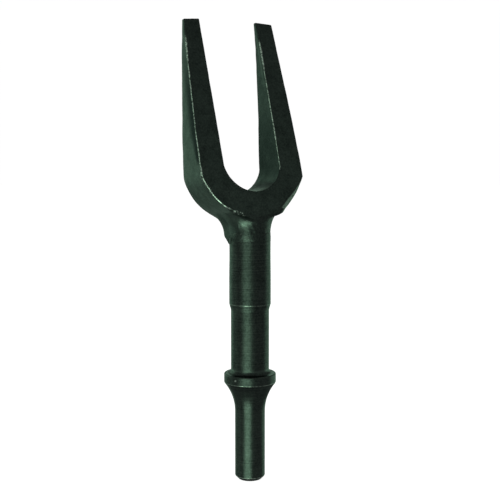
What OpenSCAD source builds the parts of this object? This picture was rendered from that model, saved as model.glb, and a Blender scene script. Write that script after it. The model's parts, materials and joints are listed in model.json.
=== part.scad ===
// Ball joint separator for an air hammer: a forged wedge fork welded to a turned shank.
// The tool stands along +Z on the centre of its striking end, with the fork's front face to -Y.

/* [Shank] */
// Diameter of the plain shank that fits the hammer's barrel
shank_d = 10.19; // [9.8:0.01:10.6]
// Height at which the plain shank ends and the flare begins
shank_len = 23.4; // [20:0.2:26]
// Chamfer round the striking end
shank_chamfer = 1.2; // [0.6:0.1:1.8]

/* [Collar] */
// Diameter of the retaining collar
collar_d = 17.6; // [16.8:0.1:18.6]
// Height of the collar's cylindrical rim
collar_rim = 3.2; // [2.6:0.1:4]
// Length of the concave flare from the shank up to the collar
flare_len = 10.1; // [8.8:0.1:12]
// Chamfer on the collar's top edge
collar_edge = 0.45; // [0.2:0.05:0.8]
// Fillet where the body stands on the collar
foot_fillet = 1.1; // [0.4:0.1:1.6]

/* [Body] */
// Diameter of the turned body above the collar
lower_body_d = 12.9; // [12.4:0.1:13.3]
// Diameter of the thicker body under the fork
upper_body_d = 14.04; // [13.6:0.02:14.4]
// Height at which the step between the two begins
step_z = 58.5; // [50:0.5:66]
// Length of the tapered step
step_len = 1.8; // [1:0.2:4]

/* [Fork] */
// Height of the tips above the striking end
overall_len = 156.3; // [148:0.1:164]
// Lean of the fork's back face away from the shank's axis, in degrees
back_lean = 5.75; // [5:0.25:6.5]
// Angle between the fork's front and back faces, in degrees
wedge_angle = 14.7; // [14.2:0.1:15.2]
// Thickness of the tips
tip_thick = 1.33; // [1:0.01:1.6]
// Width over both tines at the shoulders
shoulder_w = 37.9; // [36:0.1:40]
// Width over both tines at the tips
tip_span = 33.2; // [31:0.1:34]
// Width of the opening at the throat
throat_w = 20.6; // [19:0.1:22]
// Width of the opening between the tips
mouth_w = 21.9; // [21:0.1:23]
// Radius of the rounded shoulders
shoulder_r = 19.1; // [18.6:0.1:20]
// Radius of the bottom of the throat
throat_r = 10.45; // [10:0.05:11]
// How much lower each tip's outer corner is than its inner one
tip_slant = 0.4; // [0.1:0.1:0.8]

/* [Neck] */
// Width across the neck's flat sides
neck_w = 13; // [12.4:0.1:13.4]
// Distance from the shank's axis to the neck's square back
neck_back = 7.6; // [7.2:0.1:8.2]
// Radius that runs the neck's flat sides into the palm
neck_fillet = 4.5; // [3:0.5:5]

/* [Weld] */
// Height of the seam between the neck and the turned bar
seam_z = 82.9; // [82:0.1:83.4]
// Depth and half height of the weld groove
groove = 1.3; // [1:0.1:1.6]
// Length of bar below the groove that the rear bead covers
weld_leg = 1.4; // [0.8:0.1:2]
// Height of the weld's crown above the bar in front
crown = 0.2; // [0.1:0.05:0.3]
// Diameter of the spigot that centres the bar in the neck
spigot_d = 8; // [7:0.1:9]
// Length of the spigot
spigot_len = 8; // [5:0.5:9]

/* [Hidden] */
$fn = 96;

shank_r = shank_d / 2;
collar_r = collar_d / 2;
lower_r = lower_body_d / 2;
upper_r = upper_body_d / 2;
spigot_r = spigot_d / 2;
collar_low_z = shank_len + flare_len;
collar_top_z = collar_low_z + collar_rim;

// Running gap round the spigot, and the drill point's room over it
spigot_gap = 0.03;
spigot_room = 0.5;

// The flare is one arc, tangent to the shank, that ends on the collar's lower edge
flare_turn = 2 * atan((collar_r - shank_r) / flare_len);
flare_r = (collar_r - shank_r) / (1 - cos(flare_turn));
arc_steps = 12;

// The fork is laid out on its back face. Its own frame has Y = 0 on that face, -Y towards
// the front and +Z up the face, and starts level with neck_z, back_y behind the shank's axis.
neck_z = 80;
back_y = 10.4;
fork_len = (overall_len - neck_z) / cos(back_lean);
front_slope = tan(wedge_angle);
throat_z = 27.1;
palm_thick = tip_thick + (fork_len - throat_z) * front_slope;

// The front face ends in a lip above the round neck, and the back face slopes in to the neck
lip_z = 7.6;
lip_drop = 1.1;
lip_set = 1.25;
heel_z = 10.9;
heel_drop = 4.4;
heel_set = 3.3;
lip_thick = tip_thick + (fork_len - lip_z) * front_slope;
depth = lip_thick + 4;

// Under the throat the palm's sides leave the round shoulders and run straight to its foot
palm_x = 8.9;
palm_z = throat_z - sqrt(pow(shoulder_r, 2) - pow(palm_x, 2));
foot_x = 4;
foot_z = lip_z - lip_drop;
palm_angle = atan2(palm_z - foot_z, palm_x - foot_x);

// The fillet between the palm's side and the neck's flat side, square behind the bar only
fillet_x = neck_w / 2 + neck_fillet;
fillet_z = foot_z + ((fillet_x - foot_x) * sin(palm_angle) - neck_fillet) / cos(palm_angle);
fillet_top_x = fillet_x - neck_fillet * sin(palm_angle);
fillet_top_z = fillet_z + neck_fillet * cos(palm_angle);

steel = "#3b4641";
turned_steel = "#424c48";
weld_metal = "#56625b";

// Places its children in the fork's own frame
module in_fork_frame() {
    translate([0, back_y, neck_z])
        rotate([-back_lean, 0, 0])
            children();
}

// Turns an outline drawn flat into a wall that stands from the back face to past the front
module through_wall() {
    translate([0, 1, 0])
        rotate([90, 0, 0])
            linear_extrude(depth + 1)
                children();
}

// Half of the front view: the outer line of a tine, the shoulder and the palm
module half_outline() {
    intersection() {
        translate([0, throat_z])
            circle(shoulder_r);
        square([shoulder_w / 2, throat_z + 1]);
    }
    polygon([
        [0, throat_z - 1],
        [shoulder_w / 2, throat_z - 1],
        [shoulder_w / 2, throat_z],
        [tip_span / 2, fork_len - tip_slant],
        [mouth_w / 2, fork_len],
        [0, fork_len]
    ]);
    polygon([
        [0, foot_z],
        [foot_x, foot_z],
        [palm_x, palm_z],
        [0, throat_z - 1]
    ]);
}

// The opening between the tines, with its round throat
module opening_outline() {
    intersection() {
        translate([0, throat_z])
            circle(throat_r);
        translate([-throat_w / 2, 0])
            square([throat_w, throat_z]);
    }
    polygon([
        [-throat_w / 2, throat_z - 0.5],
        [throat_w / 2, throat_z - 0.5],
        [mouth_w / 2, fork_len + 1],
        [-mouth_w / 2, fork_len + 1]
    ]);
}

// The front view of the fork
module fork_outline() {
    difference() {
        union() {
            half_outline();
            mirror([1, 0])
                half_outline();
        }
        opening_outline();
    }
}

// The side view of the fork: the wedge, the lip in front and the heel behind
module wedge_profile() {
    polygon([
        [0, heel_z],
        [0, fork_len + 1],
        [tip_thick - front_slope, fork_len + 1],
        [lip_thick, lip_z],
        [lip_thick - lip_set, lip_z - lip_drop],
        [heel_set, lip_z - lip_drop],
        [heel_set, heel_z - heel_drop]
    ]);
}

// The wedge profile, stood up and drawn right across the fork
module wedge() {
    rotate([0, 0, -90])
        translate([0, shoulder_w / 2 + 1, 0])
            rotate([90, 0, 0])
                linear_extrude(shoulder_w + 2)
                    wedge_profile();
}

// The neck under the fork: round in front, square behind, flat at both sides
module neck() {
    neck_h = neck_z + heel_z - seam_z;
    intersection() {
        union() {
            translate([0, 0, seam_z])
                cylinder(r = upper_r, h = neck_h);
            translate([-neck_w / 2, 0, seam_z + groove])
                cube([neck_w, neck_back, neck_h - groove - heel_drop]);
        }
        translate([-neck_w / 2, -upper_r, seam_z])
            cube([neck_w, upper_r + neck_back, neck_h]);
    }
}

// The webs behind the bar that run the neck's flat sides into the palm
module neck_webs() {
    intersection() {
        in_fork_frame()
            through_wall()
                for (side = [0, 1])
                    mirror([side, 0])
                        difference() {
                            polygon([
                                [0, fillet_z],
                                [fillet_x, fillet_z],
                                [fillet_top_x, fillet_top_z],
                                [0, fillet_top_z]
                            ]);
                            translate([fillet_x, fillet_z])
                                circle(neck_fillet);
                        }
        translate([-fillet_x, 0, seam_z + groove])
            cube([2 * fillet_x, neck_back, heel_z]);
    }
}

// One ring of the weld groove's section, cut from both sides of the seam
module groove_ring() {
    rotate_extrude()
        polygon([
            [upper_r - groove, seam_z],
            [upper_r, seam_z - groove],
            [upper_r + groove, seam_z - groove],
            [upper_r + groove, seam_z + groove],
            [upper_r, seam_z + groove]
        ]);
}

// The forged fork with its neck, drilled for the spigot
module fork_head() {
    color(steel)
        difference() {
            union() {
                in_fork_frame()
                    intersection() {
                        through_wall()
                            fork_outline();
                        wedge();
                    }
                neck();
                neck_webs();
            }
            groove_ring();
            translate([0, 0, seam_z - 1])
                cylinder(r = spigot_r + spigot_gap, h = spigot_len + spigot_room + 1);
        }
}

// Points of the concave flare, from the shank up to the collar's lower edge
function flare_points() = [
    for (i = [0:arc_steps])
        let (a = flare_turn * i / arc_steps)
            [shank_r + flare_r * (1 - cos(a)), shank_len + flare_r * sin(a)]
];

// Points of the fillet where the body stands on the collar
function foot_points() = [
    for (i = [0:arc_steps / 2])
        let (a = 180 * i / arc_steps)
            [lower_r + foot_fillet * (1 - sin(a)), collar_top_z + foot_fillet * (1 - cos(a))]
];

// The turned bar: striking end, shank, flare, collar, stepped body and spigot
module drive_shaft() {
    color(turned_steel)
        rotate_extrude()
            polygon(concat(
                [[0, 0], [shank_r - shank_chamfer, 0], [shank_r, shank_chamfer]],
                flare_points(),
                [[collar_r, collar_top_z - collar_edge], [collar_r - collar_edge, collar_top_z]],
                foot_points(),
                [
                    [lower_r, step_z],
                    [upper_r, step_z + step_len],
                    [upper_r, seam_z - groove],
                    [upper_r - groove, seam_z],
                    [spigot_r, seam_z],
                    [spigot_r, seam_z + spigot_len],
                    [0, seam_z + spigot_len]
                ]
            ));
}

// Weld run round the front half of the groove, nearly flush with the bar
module front_weld_bead() {
    color(weld_metal)
        rotate([0, 0, 180])
            rotate_extrude(angle = 180)
                polygon([
                    [upper_r - groove, seam_z],
                    [upper_r, seam_z - groove],
                    [upper_r + crown, seam_z - groove / 2],
                    [upper_r + crown, seam_z + groove / 2],
                    [upper_r, seam_z + groove]
                ]);
}

// Weld run round the back, which also fills the corner under the neck's square back
module rear_weld_bead() {
    reach = norm([neck_w / 2, neck_back]);
    bead_low_z = seam_z - groove - weld_leg;
    color(weld_metal)
        intersection() {
            rotate_extrude(angle = 180)
                polygon([
                    [upper_r - groove, seam_z],
                    [upper_r, seam_z - groove],
                    [upper_r, bead_low_z],
                    [reach, seam_z],
                    [reach, seam_z + groove],
                    [upper_r, seam_z + groove]
                ]);
            translate([-upper_r, 0, bead_low_z])
                cube([upper_body_d, neck_back, 2 * groove + weld_leg]);
        }
}

fork_head();
drive_shaft();
front_weld_bead();
rear_weld_bead();
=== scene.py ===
"""Looks of the ball joint separator: a forged wedge fork welded to a turned shank, blacked steel."""
import json
import math

import bpy
import numpy as np
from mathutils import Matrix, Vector


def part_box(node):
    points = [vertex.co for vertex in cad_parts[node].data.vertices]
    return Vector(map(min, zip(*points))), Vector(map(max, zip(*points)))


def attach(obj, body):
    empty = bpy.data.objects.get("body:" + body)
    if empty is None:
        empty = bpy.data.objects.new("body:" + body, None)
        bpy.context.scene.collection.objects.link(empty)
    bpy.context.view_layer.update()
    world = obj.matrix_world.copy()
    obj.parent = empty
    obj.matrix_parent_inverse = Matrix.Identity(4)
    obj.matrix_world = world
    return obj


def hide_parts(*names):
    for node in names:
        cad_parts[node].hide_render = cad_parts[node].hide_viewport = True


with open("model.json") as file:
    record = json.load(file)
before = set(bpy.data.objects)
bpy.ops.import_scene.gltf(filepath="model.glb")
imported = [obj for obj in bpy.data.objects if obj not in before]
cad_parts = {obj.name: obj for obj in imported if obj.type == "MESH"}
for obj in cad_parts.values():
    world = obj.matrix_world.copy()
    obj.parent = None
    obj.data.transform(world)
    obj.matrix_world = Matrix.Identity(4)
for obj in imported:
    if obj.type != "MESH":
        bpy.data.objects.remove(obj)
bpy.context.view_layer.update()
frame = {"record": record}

MM = 0.001

# ---------------------------------------------------------------- sizes, in millimetres

MOUNTS = {m["name"]: m for m in frame["record"]["mounts"]}
FORK_LOW, FORK_HIGH = [np.array(c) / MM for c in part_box("fork_head")]
SHAFT_HIGH = np.array(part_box("drive_shaft")[1]) / MM
BEAD_LOW, BEAD_HIGH = [np.array(c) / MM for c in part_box("front_weld_bead")]
REAR_LOW, REAR_HIGH = [np.array(c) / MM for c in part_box("rear_weld_bead")]

SHANK_R = MOUNTS["shank"]["dims"]["r_mm"]
SHANK_CHAMFER = 1.2
SHANK_TOP = SHANK_CHAMFER + MOUNTS["shank"]["dims"]["length_mm"]
COLLAR_R = SHAFT_HIGH[0]
COLLAR_TOP = MOUNTS["retainer_collar"]["pos_m"][2] / MM
COLLAR_RIM = 3.2
COLLAR_EDGE = 0.45
FOOT_R = 1.5
LOWER_R = 6.45
UPPER_R = 7.02
STEP_Z = 58.5
STEP_LEN = 1.8
SEAM_Z = (BEAD_LOW[2] + BEAD_HIGH[2]) / 2
GROOVE = (BEAD_HIGH[2] - BEAD_LOW[2]) / 2
SPIGOT_R = 4.0
WELD_R = UPPER_R - 1.1

# The fork's own frame: s runs up its back face, t from the back face towards the front
LEAN = math.radians(5.75)
WEDGE = math.radians(14.7)
BACK_Y = 10.4
NECK_Z = 80.0
TIP_THICK = 1.33
FORK_LEN = (156.3 - NECK_Z) / math.cos(LEAN)
SHOULDER_HALF = FORK_HIGH[0] - 0.07
TIP_HALF = 16.7
TIP_SLANT = 0.4
THROAT_HALF = 10.3
MOUTH_HALF = 10.95
THROAT_S = 27.1
THROAT_R = 10.45
OPENING_RUN = FORK_LEN - THROAT_S

# A change along the fork is given with the heights s where it starts and ends. Those of a band
# are where it starts, is full, begins to fade and ends.

# Both shoulders are arcs, a little wider in front and from x 4 to 8 on the right
SHOULDER_R = 19.50
SHOULDER_SPREAD = 0.0125
SHOULDER_RIGHT, RIGHT_X = 0.22, (4, 8)

# The right side tucks in towards its shoulder, and the left side bows out in its middle
SIDE_TUCK, TUCK_S = 0.3, (45, 27)
SIDE_BOW, BOW_S = 0.25, (27, 38, 62, 76)
KINK_SOFT = 0.3

# The right shoulder is ground to a flatter arc, about a centre beyond the other tine
GROUND_R = 34.2
GROUND_X, GROUND_S = -12.4, 36.0
GROUND_TOP = 23
GROUND_BEVEL, GROUND_BEVEL_S = 2.1, (9.0, 11.0, 13, 23)
GROUND_STEEP = 0.4

# The left shoulder has a narrower struck bevel
STRUCK_BEVEL, STRUCK_BEVEL_S = 0.45, (15.5, 17.5, 21.5, 23)

# The outer walls fall away towards the back
CROWN, CROWN_DEPTH, CROWN_S = 0.15, 3.0, (13, 20, 55, 72)

# The opening narrows towards the back round the throat, and the right tine is wider inwards
# above it, with a burr at its tip
DRAFT, DRAFT_DEPTH, DRAFT_S = 0.3, 12, (44, 30)
BURR, BURR_LEN = 0.5, 9.5
INWARDS, INWARDS_S = 0.15, (45, 65)

# The neck, and the slope that cuts the wedge's heel above it
NECK_HALF = 6.5
NECK_BACK = 7.6
NECK_R = 6.88
NECK_CORNER = 1.0
NECK_EDGE = 0.35
NECK_TOP_S = 12.5
HEEL_S = 9.0
HEEL_SLOPE = (0.6, 0.8)

# The fillet between wedge and neck, and how it changes to the right and deep behind the front face
FILLET, FILLET_S = 2.0, (14, 9)
FILLET_RIGHT, FILLET_RIGHT_X = -0.4, (2, 6)
FILLET_DEEP, FILLET_DEPTH = 3.5, (-1.5, -7)

# Radii of the worn edges. The last three are added to the others
BACK_EDGE = 0.2
TIP_EDGE = 0.35
INNER_EDGE = 0.12
OUTER_EDGE = 0.14
SHOULDER_EDGE, SHOULDER_EDGE_S = 0.12, (31, 21)
LIP_EDGE, LIP_EDGE_S = 0.9, (12, 8.5)
TINE_END_EDGE, TINE_END_S = 0.24, (56, 70, 70, 82)

# The weld runs: height, bulge and sides of the front one, and the slope under the rear one
FRONT_HALF, FRONT_BAND = 1.5, 1.42
FRONT_BULGE = 0.06
FRONT_TUCK, FRONT_TUCK_Z = 0.7, (84.2, 81.4)
REAR_RISE, REAR_RUN, REAR_SLOPE_LEN = 2.7, 2.9, 3.96

# Mesh cells, and how far their grid reaches past a piece's box
CELL = 0.25
BEAD_CELL = 0.24
MARGIN = 1


# ---------------------------------------------------------------- fields

def step(low, high, value):
    """0 below low, 1 above high and smooth in between; low may be above high."""
    u = np.clip((value - low) / (high - low), 0, 1)
    return u * u * (3 - 2 * u)


def band(value, start, full, fade, end):
    """0 below start, 1 from full to fade, and 0 above end."""
    return step(start, full, value) * step(end, fade, value)


def cut(a, b, radius):
    """Where both solids are, with the edge between them rounded to a radius."""
    over = np.sqrt(np.maximum(radius + a, 0) ** 2 + np.maximum(radius + b, 0) ** 2)
    return np.minimum(-radius, np.maximum(a, b)) + over


def join(a, b, radius):
    """Where either solid is, with a fillet of a radius between them."""
    under = np.sqrt(np.maximum(radius - a, 0) ** 2 + np.maximum(radius - b, 0) ** 2)
    return np.maximum(radius, np.minimum(a, b)) - under


def waves(x, y, z, wavelength, seed, count=7):
    """Smooth noise of about unit size, as a sum of plane waves in seeded directions."""
    rng = np.random.default_rng(seed)
    total = 0
    for _ in range(count):
        d = rng.normal(size=3)
        d *= 2 * math.pi / (wavelength * np.linalg.norm(d)) * rng.uniform(0.6, 1.5)
        total = total + np.sin(d[0] * x + d[1] * y + d[2] * z + rng.uniform(0, 2 * math.pi))
    return total / math.sqrt(count)


def to_fork(y, z):
    """Height s up the back face and depth t in front of it."""
    up, forward = z - NECK_Z, BACK_Y - y
    s = up * math.cos(LEAN) - forward * math.sin(LEAN)
    t = forward * math.cos(LEAN) + up * math.sin(LEAN)
    return s, t


def wedge_thickness(s):
    return TIP_THICK + (FORK_LEN - s) * math.tan(WEDGE)


def fork_outside(x, s, t):
    """The fork's outline without its opening: two sides, two shoulders, one of them ground."""
    ax = np.abs(x)
    above = np.maximum(s - THROAT_S, 0)
    below = np.minimum(s - THROAT_S, 0)
    side = ax - SHOULDER_HALF + above * (SHOULDER_HALF - TIP_HALF) / OPENING_RUN
    side = side + SIDE_TUCK * step(*TUCK_S, s) * (x > 0)
    side = side - SIDE_BOW * band(s, *BOW_S) * (x < 0)
    shoulder = np.hypot(ax, below) - SHOULDER_R - SHOULDER_SPREAD * t
    shoulder = shoulder - SHOULDER_RIGHT * step(*RIGHT_X, x)
    ground = np.hypot(x - GROUND_X, s - GROUND_S) - GROUND_R
    ground = np.where((x > 0) & (s < GROUND_TOP), ground, shoulder)
    crown = CROWN * np.clip(1 - t / CROWN_DEPTH, 0, 1) ** 2 * band(s, *CROWN_S)
    soft = np.maximum(KINK_SOFT - np.abs(side - shoulder), 0) ** 2 / (4 * KINK_SOFT) * (x < 0)
    return np.maximum(np.maximum(side, shoulder), ground) + soft + crown


def fork_opening(x, s, t):
    """The gap between the tines and its round throat."""
    ax = np.abs(x)
    above = np.maximum(s - THROAT_S, 0)
    below = np.minimum(s - THROAT_S, 0)
    draft = DRAFT * step(DRAFT_DEPTH, 0, t) * step(*DRAFT_S, s)
    burr = BURR * np.clip((s - FORK_LEN + BURR_LEN) / BURR_LEN, 0, 1)
    right = (burr + INWARDS * step(*INWARDS_S, s)) * (x > 0)
    widening = above * (MOUTH_HALF - THROAT_HALF) / OPENING_RUN
    inner = ax - THROAT_HALF - widening + draft + right
    throat = np.hypot(ax, below) - THROAT_R + draft
    return np.maximum(inner, np.where(s < THROAT_S, throat, inner))


def outline(x, s, t, worn):
    """The fork's front view, and where its outside is nearer than its opening."""
    outside = fork_outside(x, s, t)
    opening = fork_opening(x, s, t)
    outer = outside > -opening
    body = np.maximum(outside, -opening)
    top = s - FORK_LEN + (np.abs(x) - MOUTH_HALF) * TIP_SLANT / (TIP_HALF - MOUTH_HALF)
    return cut(body, top, TIP_EDGE * worn), outer


def square_back(x, y):
    """The outline of the neck's square rear half."""
    return cut(np.abs(x) - NECK_HALF, y - NECK_BACK, NECK_CORNER)


def neck(x, y, z, s, worn):
    """Round in front, square behind, flat at both sides."""
    round_bar = np.hypot(x, y) - NECK_R
    square = np.maximum(square_back(x, y), -y)
    both = np.minimum(round_bar, np.maximum(square, SEAM_Z + 0.3 - z))
    both = cut(both, np.abs(x) - NECK_HALF, NECK_EDGE * worn)
    return np.maximum(both, s - NECK_TOP_S)


def front_edges(body, front, x, s, outer, uneven, worn):
    """Cuts the front face, with bevels along both shoulders and worn edges."""
    ground = GROUND_BEVEL * band(s, *GROUND_BEVEL_S) * (0.8 + 0.2 * uneven)
    struck = STRUCK_BEVEL * band(s, *STRUCK_BEVEL_S) * uneven
    bevel_width = np.where(x > 0, ground, struck) * outer
    steep = 1 - GROUND_STEEP * step(*RIGHT_X, x)
    bevel = ((body + bevel_width) * steep + front) / np.hypot(steep, 1)
    faces_left = outer == (x < 0)
    edge_r = np.where(outer, OUTER_EDGE + SHOULDER_EDGE * step(*SHOULDER_EDGE_S, s), INNER_EDGE)
    edge_r = edge_r + LIP_EDGE * step(*LIP_EDGE_S, s)
    edge_r = (edge_r + TINE_END_EDGE * band(s, *TINE_END_S) * faces_left) * uneven
    body = cut(body, bevel, edge_r * worn)
    return cut(body, front, edge_r * worn)


def forged_skin(x, y, z):
    """Slow waves all over, and rough metal round the lip over the neck."""
    smooth = 0.03 * waves(x, y, z, 9.0, 1) + 0.01 * waves(x, y, z, 2.2, 2)
    rough = waves(x, y, z, 1.3, 4) + 0.6 * waves(x, y, z, 0.7, 9)
    return smooth + 0.018 * step(91, 88, z) * step(-3, -5, y) * rough


def fork(x, y, z, worn=1.0):
    """The forging: the wedge blended into the neck. At worn 0 it has sharp edges and no skin."""
    s, t = to_fork(y, z)
    front = (t - wedge_thickness(s)) * math.cos(WEDGE)
    flat, outer = outline(x, s, t, worn)
    heel = (HEEL_S - s) * HEEL_SLOPE[0] - t * HEEL_SLOPE[1]
    wedge = cut(flat, np.maximum(-t, heel), BACK_EDGE * worn)
    fillet = FILLET + FILLET_RIGHT * step(*FILLET_RIGHT_X, x) + FILLET_DEEP * step(*FILLET_DEPTH, front)
    body = join(wedge, neck(x, y, z, s, worn), fillet * step(*FILLET_S, s))
    uneven = 1 + 0.25 * waves(x, y, z, 5.0, 3, 5)
    body = front_edges(body, front, x, s, outer, uneven, worn)
    body = np.maximum(body, SEAM_Z - z)
    return body + forged_skin(x, y, z) if worn else body


def front_bead(x, y, z):
    """The weld run in front, dressed flush with the bar and rougher on its left."""
    r = np.hypot(x, y)
    height = (z - SEAM_Z) / FRONT_HALF
    flush = NECK_R + (bar_radius(z) - NECK_R) * step(1, -1, height)
    crown = flush + FRONT_BULGE * (1 - height ** 2)
    side = np.abs(x) - NECK_HALF - FRONT_TUCK * step(*FRONT_TUCK_Z, z)
    run = cut(r - crown, side, NECK_EDGE)
    ends = np.maximum(np.abs(z - SEAM_Z) - FRONT_BAND, y - 0.4)
    run = np.maximum(np.maximum(run, ends), WELD_R - r)
    ripple = waves(x, y, z, 1.5, 5) + 0.8 * waves(x, y, z, 0.8, 6)
    return run + (0.004 + 0.02 * step(3, -1, x)) * ripple


def rear_bead(x, y, z):
    """The weld run behind, which fills the corner under the neck's square back."""
    r = np.hypot(x, y)
    slope = ((r - UPPER_R) * REAR_RISE - (z - REAR_LOW[2]) * REAR_RUN) / REAR_SLOPE_LEN
    ring = np.maximum(r - bar_radius(z) - 0.12, z - SEAM_Z + 0.3)
    run = cut(slope, np.minimum(square_back(x, y), ring), 0.9)
    run = cut(run, z - REAR_HIGH[2], 0.4)
    run = np.maximum(np.maximum(run, WELD_R - r), 0.2 - y)
    ripple = 0.06 * waves(x, y, z, 1.7, 7) + 0.05 * waves(x, y, z, 0.9, 8)
    tucked = 0.3 * step(83.2, 83.8, z)
    return run + ripple * step(83.3, 81.8, z) + tucked


# ---------------------------------------------------------------- meshes

def near(points, centre, reach):
    """1 at a centre, falling off smoothly over a reach."""
    return np.exp(-((points - np.array(centre)) ** 2).sum(1) / reach ** 2)


def slope_of(field, points, reach=0.04):
    """The field's gradient and its Laplacian at some points."""
    here = field(*points.T)
    gradient = np.empty_like(points)
    bend = np.zeros(len(points))
    for k in range(3):
        d = np.zeros(3)
        d[k] = reach
        ahead, behind = field(*(points + d).T), field(*(points - d).T)
        gradient[:, k] = (ahead - behind) / (2 * reach)
        bend += (ahead + behind - 2 * here) / reach ** 2
    return here, gradient, bend


def crossings(field, axis, low, cell, value):
    """The grid edges along an axis that cross the surface: where, its normals and four cells each."""
    inside = value < 0
    u, v = [k for k in range(3) if k != axis]
    along = np.eye(3, dtype=int)[axis]
    lower = tuple(slice(0, -1) if k == axis else slice(1, -1) for k in range(3))
    upper = tuple(slice(1, None) if k == axis else slice(1, -1) for k in range(3))
    edges = np.argwhere(inside[lower] != inside[upper]) + (1 - along)
    start, end = value[tuple(edges.T)], value[tuple((edges + along).T)]
    share = start / (start - end)
    points = np.array(low) + (edges + share[:, None] * along) * cell
    rest, gradient, _ = slope_of(field, points)
    leave = gradient[:, axis]
    fix = np.where(np.abs(leave) > 0.1, -rest / np.where(leave == 0, 1, leave), 0)
    points[:, axis] += np.clip(fix, -0.3 * cell, 0.3 * cell)
    normals = gradient / np.linalg.norm(gradient, axis=1, keepdims=True)
    ring = []
    for du, dv in ((-1, -1), (0, -1), (0, 0), (-1, 0)):
        at = edges.copy()
        at[:, u] += du
        at[:, v] += dv
        ring.append(np.ravel_multi_index(tuple(at.T), value.shape))
    ring = np.stack(ring, 1)
    flip = start < 0 if axis == 1 else start >= 0
    ring[flip] = ring[flip][:, ::-1]
    return points, normals, ring


def contour(field, low, high, cell):
    """Quads on the surface where a field is zero, with its sharp edges kept: dual contouring."""
    axes = [np.arange(a, b + cell, cell) for a, b in zip(low, high)]
    value = field(axes[0][:, None, None], axes[1][None, :, None], axes[2][None, None, :])
    found = [crossings(field, axis, low, cell, value) for axis in range(3)]
    points, normals, rings = [np.concatenate(parts) for parts in zip(*found)]
    cells, quads = np.unique(rings, return_inverse=True)
    quads = quads.reshape(rings.shape)
    count = np.zeros(len(cells))
    middle = np.zeros((len(cells), 3))
    for corner in quads.T:
        np.add.at(count, corner, 1)
        np.add.at(middle, corner, points)
    middle /= count[:, None]
    squares = np.zeros((len(cells), 3, 3))
    pulls = np.zeros((len(cells), 3))
    outer = normals[:, :, None] * normals[:, None, :]
    for corner in quads.T:
        offset = np.einsum("ij,ij->i", normals, points - middle[corner])
        np.add.at(squares, corner, outer)
        np.add.at(pulls, corner, normals * offset[:, None])
    squares += 0.03 * count[:, None, None] * np.eye(3)
    move = np.linalg.solve(squares, pulls[:, :, None])[:, :, 0]
    return middle + np.clip(move, -cell, cell), quads


def settle(field, points, rounds=4):
    """Moves points on to the field's surface; gives its normals and its curvature there."""
    for _ in range(rounds):
        here, gradient, _ = slope_of(field, points)
        size = np.maximum((gradient ** 2).sum(1), 0.1)
        points = points - np.clip((here / size)[:, None] * gradient, -0.12, 0.12)
    _, gradient, _ = slope_of(field, points)
    _, _, bend = slope_of(field, points, 0.2)
    return points, gradient / np.linalg.norm(gradient, axis=1, keepdims=True), bend


def new_mesh(name, points, faces, normals=None):
    """An object from points in millimetres."""
    mesh = bpy.data.meshes.new(name)
    mesh.from_pydata((points * MM).tolist(), [], faces)
    mesh.update()
    mesh.shade_smooth()
    if normals is not None:
        mesh.normals_split_custom_set_from_vertices(normals.tolist())
    obj = bpy.data.objects.new(name, mesh)
    bpy.context.scene.collection.objects.link(obj)
    return obj


def add_layer(obj, name, values):
    """A value for each point, which a material can read."""
    layer = obj.data.attributes.new(name, "FLOAT", "POINT")
    layer.data.foreach_set("value", np.asarray(values, np.float32))


# ---------------------------------------------------------------- the forging's worn places and painted shade

# Where the lip is specked, and the centre and reach of each rubbed patch below it
LIP_SPECKS = (-7.6, -7.6, 91.0)
RUBBED = (((-4.5, -5.2, 86.8), 1.5), ((-4.3, -5.4, 82.7), 1.4), ((-8.5, -4.0, 90.2), 3.2))

# The scratch's depth behind the front face, and the lowest point of the ground facet
SCRATCH_BEHIND = 1.7
FACET_Z = 91

# How bright or how dull each place is, from 0 to 1; the last two set how dark the painted shade is
BACK_WEAR = 0.62
CORNER_WEAR = 0.9
FACET_WEAR = 0.465
LEFT_PAINTED_SHADE = 0.78
FLANK_PAINTED_SHADE = 0.25


def is_inner(x, s):
    """Whether a point is on the opening's side of a tine."""
    return (np.abs(x) < 12) & (s > 14)


def ground_facet(points, normals):
    """1 on the bevel along the ground shoulder."""
    towards_right = step(0.2, 0.38, normals[:, 0])
    towards_front = step(0.3, 0.5, -normals[:, 1])
    return towards_right * towards_front * (points[:, 2] > FACET_Z)


def bare_edges(points, normals, bend):
    """Bright steel along the left front ridges, the lip and a corner of the neck, less at the back."""
    x, y, z = points.T
    s, t = to_fork(y, z)
    behind = wedge_thickness(s) - t
    inner_ridge = step(23.2, 24.5, s) * (x > 0)
    outer_ridge = step(91.5, 93.5, z) * (x < 0)
    ridge = np.where(is_inner(x, s), inner_ridge, outer_ridge) * (behind < 2.5) * step(74, 66, s)
    ridge = np.maximum(ridge, BACK_WEAR * (t < 1.0) * band(s, 12, 18, 62, 72))
    specks = step(-0.2, 0.5, waves(x, y, z, 1.0, 11)) * step(0.3, 0.7, bend)
    lip = np.minimum(2 * near(points, LIP_SPECKS, 1.9), 1) * specks
    corner = CORNER_WEAR * step(0.8, 2.0, bend) * (x < -5) * (y < 1) * (z < 89.5) * step(83, 84, z)
    wear = np.maximum(step(0.7, 2.6, bend) * ridge, np.maximum(lip, corner))
    return np.maximum(wear, FACET_WEAR * ground_facet(points, normals))


def rubbed_places(points, normals):
    """Lighter places: the ground facet, three rubbed patches and a scratch inside the right tine."""
    x, y, z = points.T
    s, t = to_fork(y, z)
    behind = wedge_thickness(s) - t
    rubbed = sum(near(points, centre, reach) for centre, reach in RUBBED)
    scratch = np.exp(-((behind - SCRATCH_BEHIND) / 0.3) ** 2) * step(50, 60, s)
    scratch = scratch * is_inner(x, s) * (x > 0)
    return np.minimum(rubbed + scratch + ground_facet(points, normals), 1.0)


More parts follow.
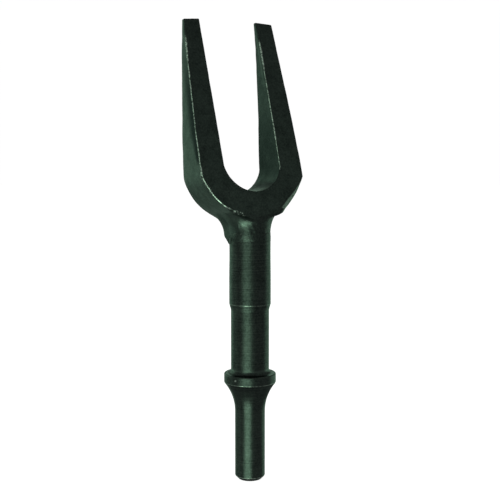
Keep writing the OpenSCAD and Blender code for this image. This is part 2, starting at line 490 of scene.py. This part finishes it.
def painted_shade_places(points, normals):
    """Painted shade, dull and dark: a strip behind the left ridge, the inner right wall, darker lower
    down, and the neck's left flank.
    """
    x, y, z = points.T
    s, t = to_fork(y, z)
    behind = wedge_thickness(s) - t
    inner = is_inner(x, s)
    reach = 3.2 + 3.2 * step(27, 38, s)
    # Painted shade: a dark strip on the left wall behind its ridge
    left = LEFT_PAINTED_SHADE * (x < 0) * ~inner * step(reach, 1.6, behind) * band(s, 24.5, 28, 45, 74)
    # Painted shade on the inner right wall, darker lower down
    right = (0.24 + 0.1 * step(62, 50, s) + 0.2 * step(48, 36, s)) * step(16, 24, s)
    right = right * inner * (x > 0)
    # Painted shade on the neck's left flank, under the shoulder
    flank = FLANK_PAINTED_SHADE * step(93, 89, z) * (x < -5) * (y < 6)
    return np.abs(normals[:, 0]) * np.maximum(np.maximum(left, right), flank)


def make_forged(name, coarse, fine, low, high, cell):
    """A piece whose quads follow one field's edges, and then lie on a finer field."""
    points, quads = contour(coarse, low - MARGIN, high + MARGIN, cell)
    points, normals, bend = settle(fine, points)
    obj = new_mesh(name, points, quads.tolist(), normals)
    add_layer(obj, "wear", bare_edges(points, normals, bend))
    add_layer(obj, "dressed_and_highlight", rubbed_places(points, normals))
    # Painted shade on the forging's walls
    add_layer(obj, "painted_shade", painted_shade_places(points, normals))
    return obj


# ---------------------------------------------------------------- the turned bar

def arc(cx, cz, radius, start, end, count):
    """Points of an arc in the (r, z) plane, angles in degrees from +r towards +z."""
    angles = np.radians(np.linspace(start, end, count))
    return [(cx + radius * math.cos(a), cz + radius * math.sin(a)) for a in angles]


def bar_radius(z):
    """The upper bar's radius, which falls a little towards the weld."""
    return UPPER_R - 0.09 * step(68, 78, z)


def shaft_profile():
    """The bar's outline from the centre of the striking end to the top of its spigot."""
    rise = COLLAR_TOP - COLLAR_RIM - SHANK_TOP
    turn = 2 * math.atan((COLLAR_R - SHANK_R) / rise)
    flare_r = (COLLAR_R - SHANK_R) / (1 - math.cos(turn))
    points = [(0.0, 0.0), (1.5, 0.0), (3.0, 0.0)]
    points += arc(SHANK_R - SHANK_CHAMFER - 0.1, 0.22, 0.22, -90, -45, 4)
    points += arc(SHANK_R - 0.5, SHANK_CHAMFER + 0.2, 0.5, -45, 0, 5)
    points += [(SHANK_R, z) for z in np.arange(SHANK_CHAMFER + 0.5, SHANK_TOP, 0.4)]
    points += arc(SHANK_R + flare_r, SHANK_TOP, flare_r, 180, 180 - math.degrees(turn), 30)
    low = COLLAR_TOP - COLLAR_RIM
    points[-1] = (COLLAR_R - 0.12, low - 0.1)
    points += arc(COLLAR_R - 0.2, low + 0.2, 0.2, -30, 0, 4)
    points += [(COLLAR_R, z) for z in np.arange(low + 0.5, COLLAR_TOP - 0.6, 0.25)]
    points += arc(COLLAR_R - COLLAR_EDGE, COLLAR_TOP - COLLAR_EDGE, COLLAR_EDGE, 0, 90, 7)
    points += arc(LOWER_R + FOOT_R, COLLAR_TOP + FOOT_R, FOOT_R, 270, 180, 11)
    points += [(LOWER_R, z) for z in np.arange(COLLAR_TOP + FOOT_R + 0.3, STEP_Z - 0.2, 0.35)]
    points += [(LOWER_R + 0.02, STEP_Z - 0.1), (LOWER_R + 0.1, STEP_Z + 0.2)]
    points += [(UPPER_R - 0.08, STEP_Z + STEP_LEN - 0.25), (UPPER_R, STEP_Z + STEP_LEN)]
    heights = np.arange(STEP_Z + STEP_LEN + 0.4, SEAM_Z - GROOVE, 0.5)
    points += [(bar_radius(z), z) for z in heights]
    points += [(bar_radius(SEAM_Z), SEAM_Z - GROOVE), (UPPER_R - GROOVE, SEAM_Z), (SPIGOT_R, SEAM_Z)]
    points += [(SPIGOT_R, SHAFT_HIGH[2]), (0.0, SHAFT_HIGH[2])]
    return np.array(points)


def revolve(profile, around):
    """Points and faces of a closed profile turned round the z axis, with a point at each end."""
    rows = profile[1:-1]
    angles = np.linspace(0, 2 * math.pi, around, endpoint=False)
    turned = np.stack([
        np.outer(rows[:, 0], np.cos(angles)),
        np.outer(rows[:, 0], np.sin(angles)),
        np.outer(rows[:, 1], np.ones(around)),
    ], -1).reshape(-1, 3)
    points = np.concatenate([turned, [[0, 0, profile[0, 1]], [0, 0, profile[-1, 1]]]])
    i = np.arange(len(rows) - 1)[:, None] * around
    j = np.arange(around)[None, :]
    k = (j + 1) % around
    quads = np.stack(np.broadcast_arrays(i + j, i + k, i + around + k, i + around + j), -1)
    faces = quads.reshape(-1, 4).tolist()
    last = (len(rows) - 1) * around
    bottom, top = len(turned), len(turned) + 1
    faces += [[bottom, int(b), int(a)] for a, b in zip(j[0], k[0])]
    faces += [[top, int(last + a), int(last + b)] for a, b in zip(j[0], k[0])]
    return points, faces


# A bright nick in the collar's rim, and how far the bright edges spread
NICK = (-7.63, -4.38, COLLAR_TOP - 1.4)
NICK_REACH = 0.5
EDGE_REACH = 0.2

# How rubbed the shank is, and how bright the painted highlight on the ring above the collar is, from 0
# to 1
SHANK_RUB = 0.13
FOOT_HIGHLIGHT = 0.8


def make_shaft():
    """The turned bar, bright along its edges, rubbed on its shank, with a painted highlight on the ring
    above the collar.
    """
    points, faces = revolve(shaft_profile(), 160)
    obj = new_mesh("turned_bar", points, faces)
    r, z = np.hypot(points[:, 0], points[:, 1]), points[:, 2]
    # Radius, height and brightness of each edge
    edges = (
        (SHANK_R - 0.06, SHANK_CHAMFER, 0.9),
        (COLLAR_R, COLLAR_TOP - COLLAR_RIM + 0.2, 0.65),
        (COLLAR_R - 0.13, COLLAR_TOP - 0.13, 0.5),
        (UPPER_R, STEP_Z + STEP_LEN, 0.6),
    )
    wear = near(points, NICK, NICK_REACH)
    for edge_r, edge_z, share in edges:
        distance2 = (r - edge_r) ** 2 + (z - edge_z) ** 2
        wear = np.maximum(wear, share * np.exp(-distance2 / EDGE_REACH ** 2))
    add_layer(obj, "wear", wear)
    # Painted highlight: a light ring on the fillet just above the collar
    foot_highlight = FOOT_HIGHLIGHT * np.exp(-((z - COLLAR_TOP - 1.4) / 0.3) ** 2) * (r < LOWER_R + 0.6)
    specks = step(0.5, 1.1, waves(*points.T, 0.9, 12)) * (0.35 * step(13, 4, z) + 0.1)
    add_layer(obj, "dressed_and_highlight", SHANK_RUB * step(25, 23, z) + foot_highlight + specks * (z < SHANK_TOP))
    # No painted shade on the bar
    add_layer(obj, "painted_shade", np.zeros(len(points)))
    return obj


# ---------------------------------------------------------------- materials

OXIDE = (0.084, 0.110, 0.096)
OXIDE_DARK = (0.020, 0.029, 0.026)
BARE = (0.80, 0.97, 0.84)
# Lighter rubbed steel, also the colour of the painted highlight above the collar
DRESSED_AND_HIGHLIGHT = (0.105, 0.142, 0.122)
# The colour of the painted shade
PAINTED_SHADE = (0.010, 0.016, 0.017)
GRAZING = (0.62, 0.685, 0.66)


class Nodes:
    """A material's node tree, built by naming each node and what feeds it."""

    def __init__(self, name):
        self.material = bpy.data.materials.new(name)
        self.material.use_nodes = True
        self.tree = self.material.node_tree
        self.shader = self.tree.nodes["Principled BSDF"]

    def add(self, kind, out=0, inputs=None, **settings):
        node = self.tree.nodes.new("ShaderNode" + kind)
        for key, value in settings.items():
            setattr(node, key, value)
        for key, value in (inputs or {}).items():
            self.feed(node.inputs[key], value)
        return node.outputs[out]

    def feed(self, socket, value):
        if isinstance(value, bpy.types.NodeSocket):
            self.tree.links.new(value, socket)
        else:
            socket.default_value = value

    def noise(self, where, size_mm, detail=2.0):
        """Noise between 0 and 1 with features of a size in millimetres."""
        inputs = {"Vector": where, "Scale": 1 / (size_mm * MM), "Detail": detail, "Roughness": 0.55}
        return self.add("TexNoise", inputs=inputs)

    def lines(self, where, size_mm, detail=2.0):
        """Noise that changes along the bar only."""
        along = self.add("SeparateXYZ", out=2, inputs={0: where})
        inputs = {"W": along, "Scale": 1 / (size_mm * MM), "Detail": detail, "Roughness": 0.55}
        return self.add("TexNoise", inputs=inputs, noise_dimensions="1D")

    def layer(self, name):
        """A value stored at the piece's points."""
        return self.add("Attribute", out=2, attribute_name=name)

    def ramp(self, value, low, high, to_low=0.0, to_high=1.0):
        inputs = {0: value, 1: low, 2: high, 3: to_low, 4: to_high}
        return self.add("MapRange", inputs=inputs, clamp=True)

    def math(self, operation, a, b=0.0):
        return self.add("Math", inputs={0: a, 1: b}, operation=operation)

    def blend(self, factor, a, b):
        return self.add("Mix", out=2, inputs={0: factor, 6: a, 7: b}, data_type="RGBA")


def relief(n, here, grain, bumps, rings):
    """A bump from fine grain, wider bumps and turning lines, each a (size, depth) in millimetres."""
    grain_mm, depth_mm = grain
    height = n.math("MULTIPLY", n.noise(here, grain_mm, 3.0), depth_mm * MM)
    for size_mm, depth_mm in bumps:
        more = n.math("MULTIPLY", n.noise(here, size_mm), depth_mm * MM)
        height = n.math("ADD", height, more)
    for size_mm, depth_mm in rings:
        more = n.math("MULTIPLY", n.lines(here, size_mm, 3.0), depth_mm * MM)
        height = n.math("ADD", height, more)
    return n.add("Bump", inputs={"Strength": 1.0, "Distance": 1.0, "Height": height})


def bare_share(n, here, scuffs, edges):
    """How much bright steel shows: chipped along the worn edges, and in specks all over."""
    edge = n.ramp(n.layer("wear"), 0.4, 0.85)
    chips = n.ramp(n.noise(here, 0.6, 3.0), 0.40, 0.56)
    worn = n.math("MULTIPLY", edge, n.ramp(chips, 0.0, 1.0, 0.2 * edges, edges))
    specks = n.math("MULTIPLY", n.ramp(n.noise(here, 0.45), 0.70, 0.78), scuffs)
    return n.math("MAXIMUM", worn, specks)


def oxide_tone(n, here, patch, rings):
    """0 for the dark oxide and 1 for the pale: stains, patches and flecks, and turning lines."""
    stain = n.ramp(n.noise(here, 5.0, 4.0), 0.3, 0.7, 0.0, 0.3)
    tone = n.math("ADD", stain, n.ramp(patch, 0.3, 0.7, 0.0, 0.2))
    tone = n.math("ADD", tone, n.ramp(n.noise(here, 0.55), 0.3, 0.7, 0.0, 0.5))
    if rings:
        lines = n.ramp(n.lines(here, 0.45), 0.3, 0.7, -0.17, 0.17)
        tone = n.ramp(n.math("ADD", tone, lines), 0.0, 1.0)
    return tone


def blacked(name, grain, rough, scuffs, bumps=(), rings=(), edges=1.0):
    """Blacked steel: grain, uneven sheen, faint stains, bright worn edges and scuffs, lighter rubbed
    places that also carry a painted highlight, and painted shade.
    """
    n = Nodes(name)
    here = n.add("TexCoord", out=3)
    n.feed(n.shader.inputs["Normal"], relief(n, here, grain, bumps, rings))

    worn = bare_share(n, here, scuffs, edges)
    patch = n.noise(here, 1.6, 3.0)
    color = n.blend(oxide_tone(n, here, patch, rings), (*OXIDE_DARK, 1), (*OXIDE, 1))
    # Lighter rubbed steel; on the bar this also paints a highlight
    dressed_and_highlight = n.math("MULTIPLY", n.layer("dressed_and_highlight"), n.ramp(patch, 0.3, 0.5, 0.6, 1.0))
    color = n.blend(dressed_and_highlight, color, (*DRESSED_AND_HIGHLIGHT, 1))
    # Painted shade: darker, and not metallic, where the layer says
    painted_shade = n.layer("painted_shade")
    color = n.blend(painted_shade, color, (*PAINTED_SHADE, 1))
    color = n.blend(worn, color, (*BARE, 1))
    n.feed(n.shader.inputs["Base Color"], color)

    sheen = n.ramp(n.noise(here, 2.4, 4.0), 0.3, 0.7, rough - 0.05, rough + 0.05)
    gloss = n.math("SUBTRACT", sheen, n.math("MULTIPLY", worn, 0.08))
    n.feed(n.shader.inputs["Roughness"], gloss)
    n.feed(n.shader.inputs["Metallic"], n.ramp(painted_shade, 0.0, 1.0, 1.0, 0.0))
    n.shader.inputs["Specular IOR Level"].default_value = 0.0
    n.shader.inputs["Specular Tint"].default_value = (*GRAZING, 1)
    return n.material


# ---------------------------------------------------------------- studio

VIEW_AZIMUTH = math.radians(-26.53)
VIEW_DISTANCE = 0.3168
VIEW_HEIGHT = 0.1064
VIEW_PITCH = math.radians(5.05)
LENS = 68.15


def add_camera():
    data = bpy.data.cameras.new("camera")
    data.lens = LENS
    data.sensor_width = 36
    data.clip_start = 0.01
    cam = bpy.data.objects.new("camera", data)
    cam.location = (
        VIEW_DISTANCE * math.sin(VIEW_AZIMUTH),
        -VIEW_DISTANCE * math.cos(VIEW_AZIMUTH),
        VIEW_HEIGHT,
    )
    cam.rotation_euler = (math.pi / 2 - VIEW_PITCH, 0, VIEW_AZIMUTH)
    bpy.context.scene.collection.objects.link(cam)
    bpy.context.scene.camera = cam


LIGHT_DISTANCE = 0.9
LIGHT_TARGET = (0.0, 0.0, 0.08)
TINT = (0.74, 1.0, 0.78)


def add_panel(name, azimuth, elevation, width, tall, power):
    """A soft box that faces the tool: azimuth round it from the front, and elevation."""
    data = bpy.data.lights.new(name, "AREA")
    data.shape = "ELLIPSE"
    data.size = width
    data.size_y = tall
    data.energy = power
    data.color = TINT
    light = bpy.data.objects.new(name, data)
    a, e = math.radians(azimuth), math.radians(elevation)
    away = Vector((math.sin(a) * math.cos(e), -math.cos(a) * math.cos(e), math.sin(e)))
    light.location = Vector(LIGHT_TARGET) + away * LIGHT_DISTANCE
    light.rotation_mode = "QUATERNION"
    light.rotation_quaternion = away.to_track_quat("Z", "Y")
    light.visible_camera = False
    bpy.context.scene.collection.objects.link(light)


def glowing(name, base, rough, strength):
    """A plain material that gives its own white light."""
    material = bpy.data.materials.new(name)
    material.use_nodes = True
    shader = material.node_tree.nodes["Principled BSDF"]
    shader.inputs["Base Color"].default_value = (base, base, base, 1)
    shader.inputs["Roughness"].default_value = rough
    shader.inputs["Emission Color"].default_value = (1, 1, 1, 1)
    shader.inputs["Emission Strength"].default_value = strength
    return material


def set_stage(obj, material):
    """Seen by the camera, but lights and darkens nothing."""
    obj.data.materials.append(material)
    obj.visible_glossy = False
    obj.visible_diffuse = False
    obj.visible_shadow = False


FLOOR_HALF = 6.0
DOME_R = 5.0
WORLD_LIGHT = 0.165


def add_floor():
    corners = [(x * FLOOR_HALF, y * FLOOR_HALF, 0) for x, y in ((-1, -1), (1, -1), (1, 1), (-1, 1))]
    mesh = bpy.data.meshes.new("floor")
    mesh.from_pydata(corners, [], [(0, 1, 2, 3)])
    floor = bpy.data.objects.new("floor", mesh)
    bpy.context.scene.collection.objects.link(floor)
    set_stage(floor, glowing("pale_floor", 0.8, 0.9, 0.95))


def add_backdrop():
    bpy.ops.mesh.primitive_uv_sphere_add(segments=48, ring_count=24, radius=DOME_R)
    dome = bpy.context.object
    dome.name = "backdrop"
    set_stage(dome, glowing("backdrop", 0.0, 0.5, 1.0))


def add_world():
    world = bpy.data.worlds.new("world")
    world.use_nodes = True
    background = world.node_tree.nodes["Background"]
    background.inputs["Color"].default_value = (1, 1, 1, 1)
    background.inputs["Strength"].default_value = WORLD_LIGHT
    bpy.context.scene.world = world


# Name, azimuth and elevation in degrees, width and height in metres, and power
PANELS = (
    ("key_low", -45, -30, 0.82, 0.52, 2.7),
    ("key", -45, 0, 0.82, 0.52, 0.7),
    ("key_high", -60, 30, 0.48, 0.48, 0.4),
    ("fill", 30, 30, 0.48, 0.48, 0.08),
    ("rear_left", -159, 9, 0.96, 0.8, 1.5),
    ("side_left", -120, -15, 0.48, 0.96, 0.25),
    ("side_right", 108, -8, 1.15, 0.65, 1.3),
    ("rear_low", 180, -22, 0.96, 0.48, 0.42),
    ("rear_right", 150, 15, 0.6, 0.4, 0.5),
)

add_camera()
add_floor()
add_backdrop()
add_world()
for panel in PANELS:
    add_panel(*panel)
bpy.context.scene.view_settings.view_transform = "Standard"


# ---------------------------------------------------------------- the pieces

FORGED = blacked("forged_steel", (0.6, 0.02), 0.36, 0.10, bumps=((1.8, 0.03),))
TURNED = blacked("turned_steel", (0.6, 0.014), 0.33, 0.08, rings=((0.6, 0.02), (2.5, 0.02)))
WELD = blacked("weld_metal", (0.5, 0.02), 0.38, 0.15, bumps=((0.9, 0.03),), edges=0.15)

fork_piece = make_forged("fork_forging", lambda *p: fork(*p, 0.0), fork, FORK_LOW, FORK_HIGH, CELL)
fork_piece.data.materials.append(FORGED)
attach(fork_piece, "root")
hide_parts("fork_head")

bar_piece = make_shaft()
bar_piece.data.materials.append(TURNED)
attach(bar_piece, "root")
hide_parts("drive_shaft")

for name, field, low, high in (
    ("front_weld_bead", front_bead, BEAD_LOW, BEAD_HIGH),
    ("rear_weld_bead", rear_bead, REAR_LOW, REAR_HIGH),
):
    bead = make_forged(name.replace("_bead", "_run"), field, field, low, high, BEAD_CELL)
    bead.data.materials.append(WELD)
    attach(bead, "root")
    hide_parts(name)
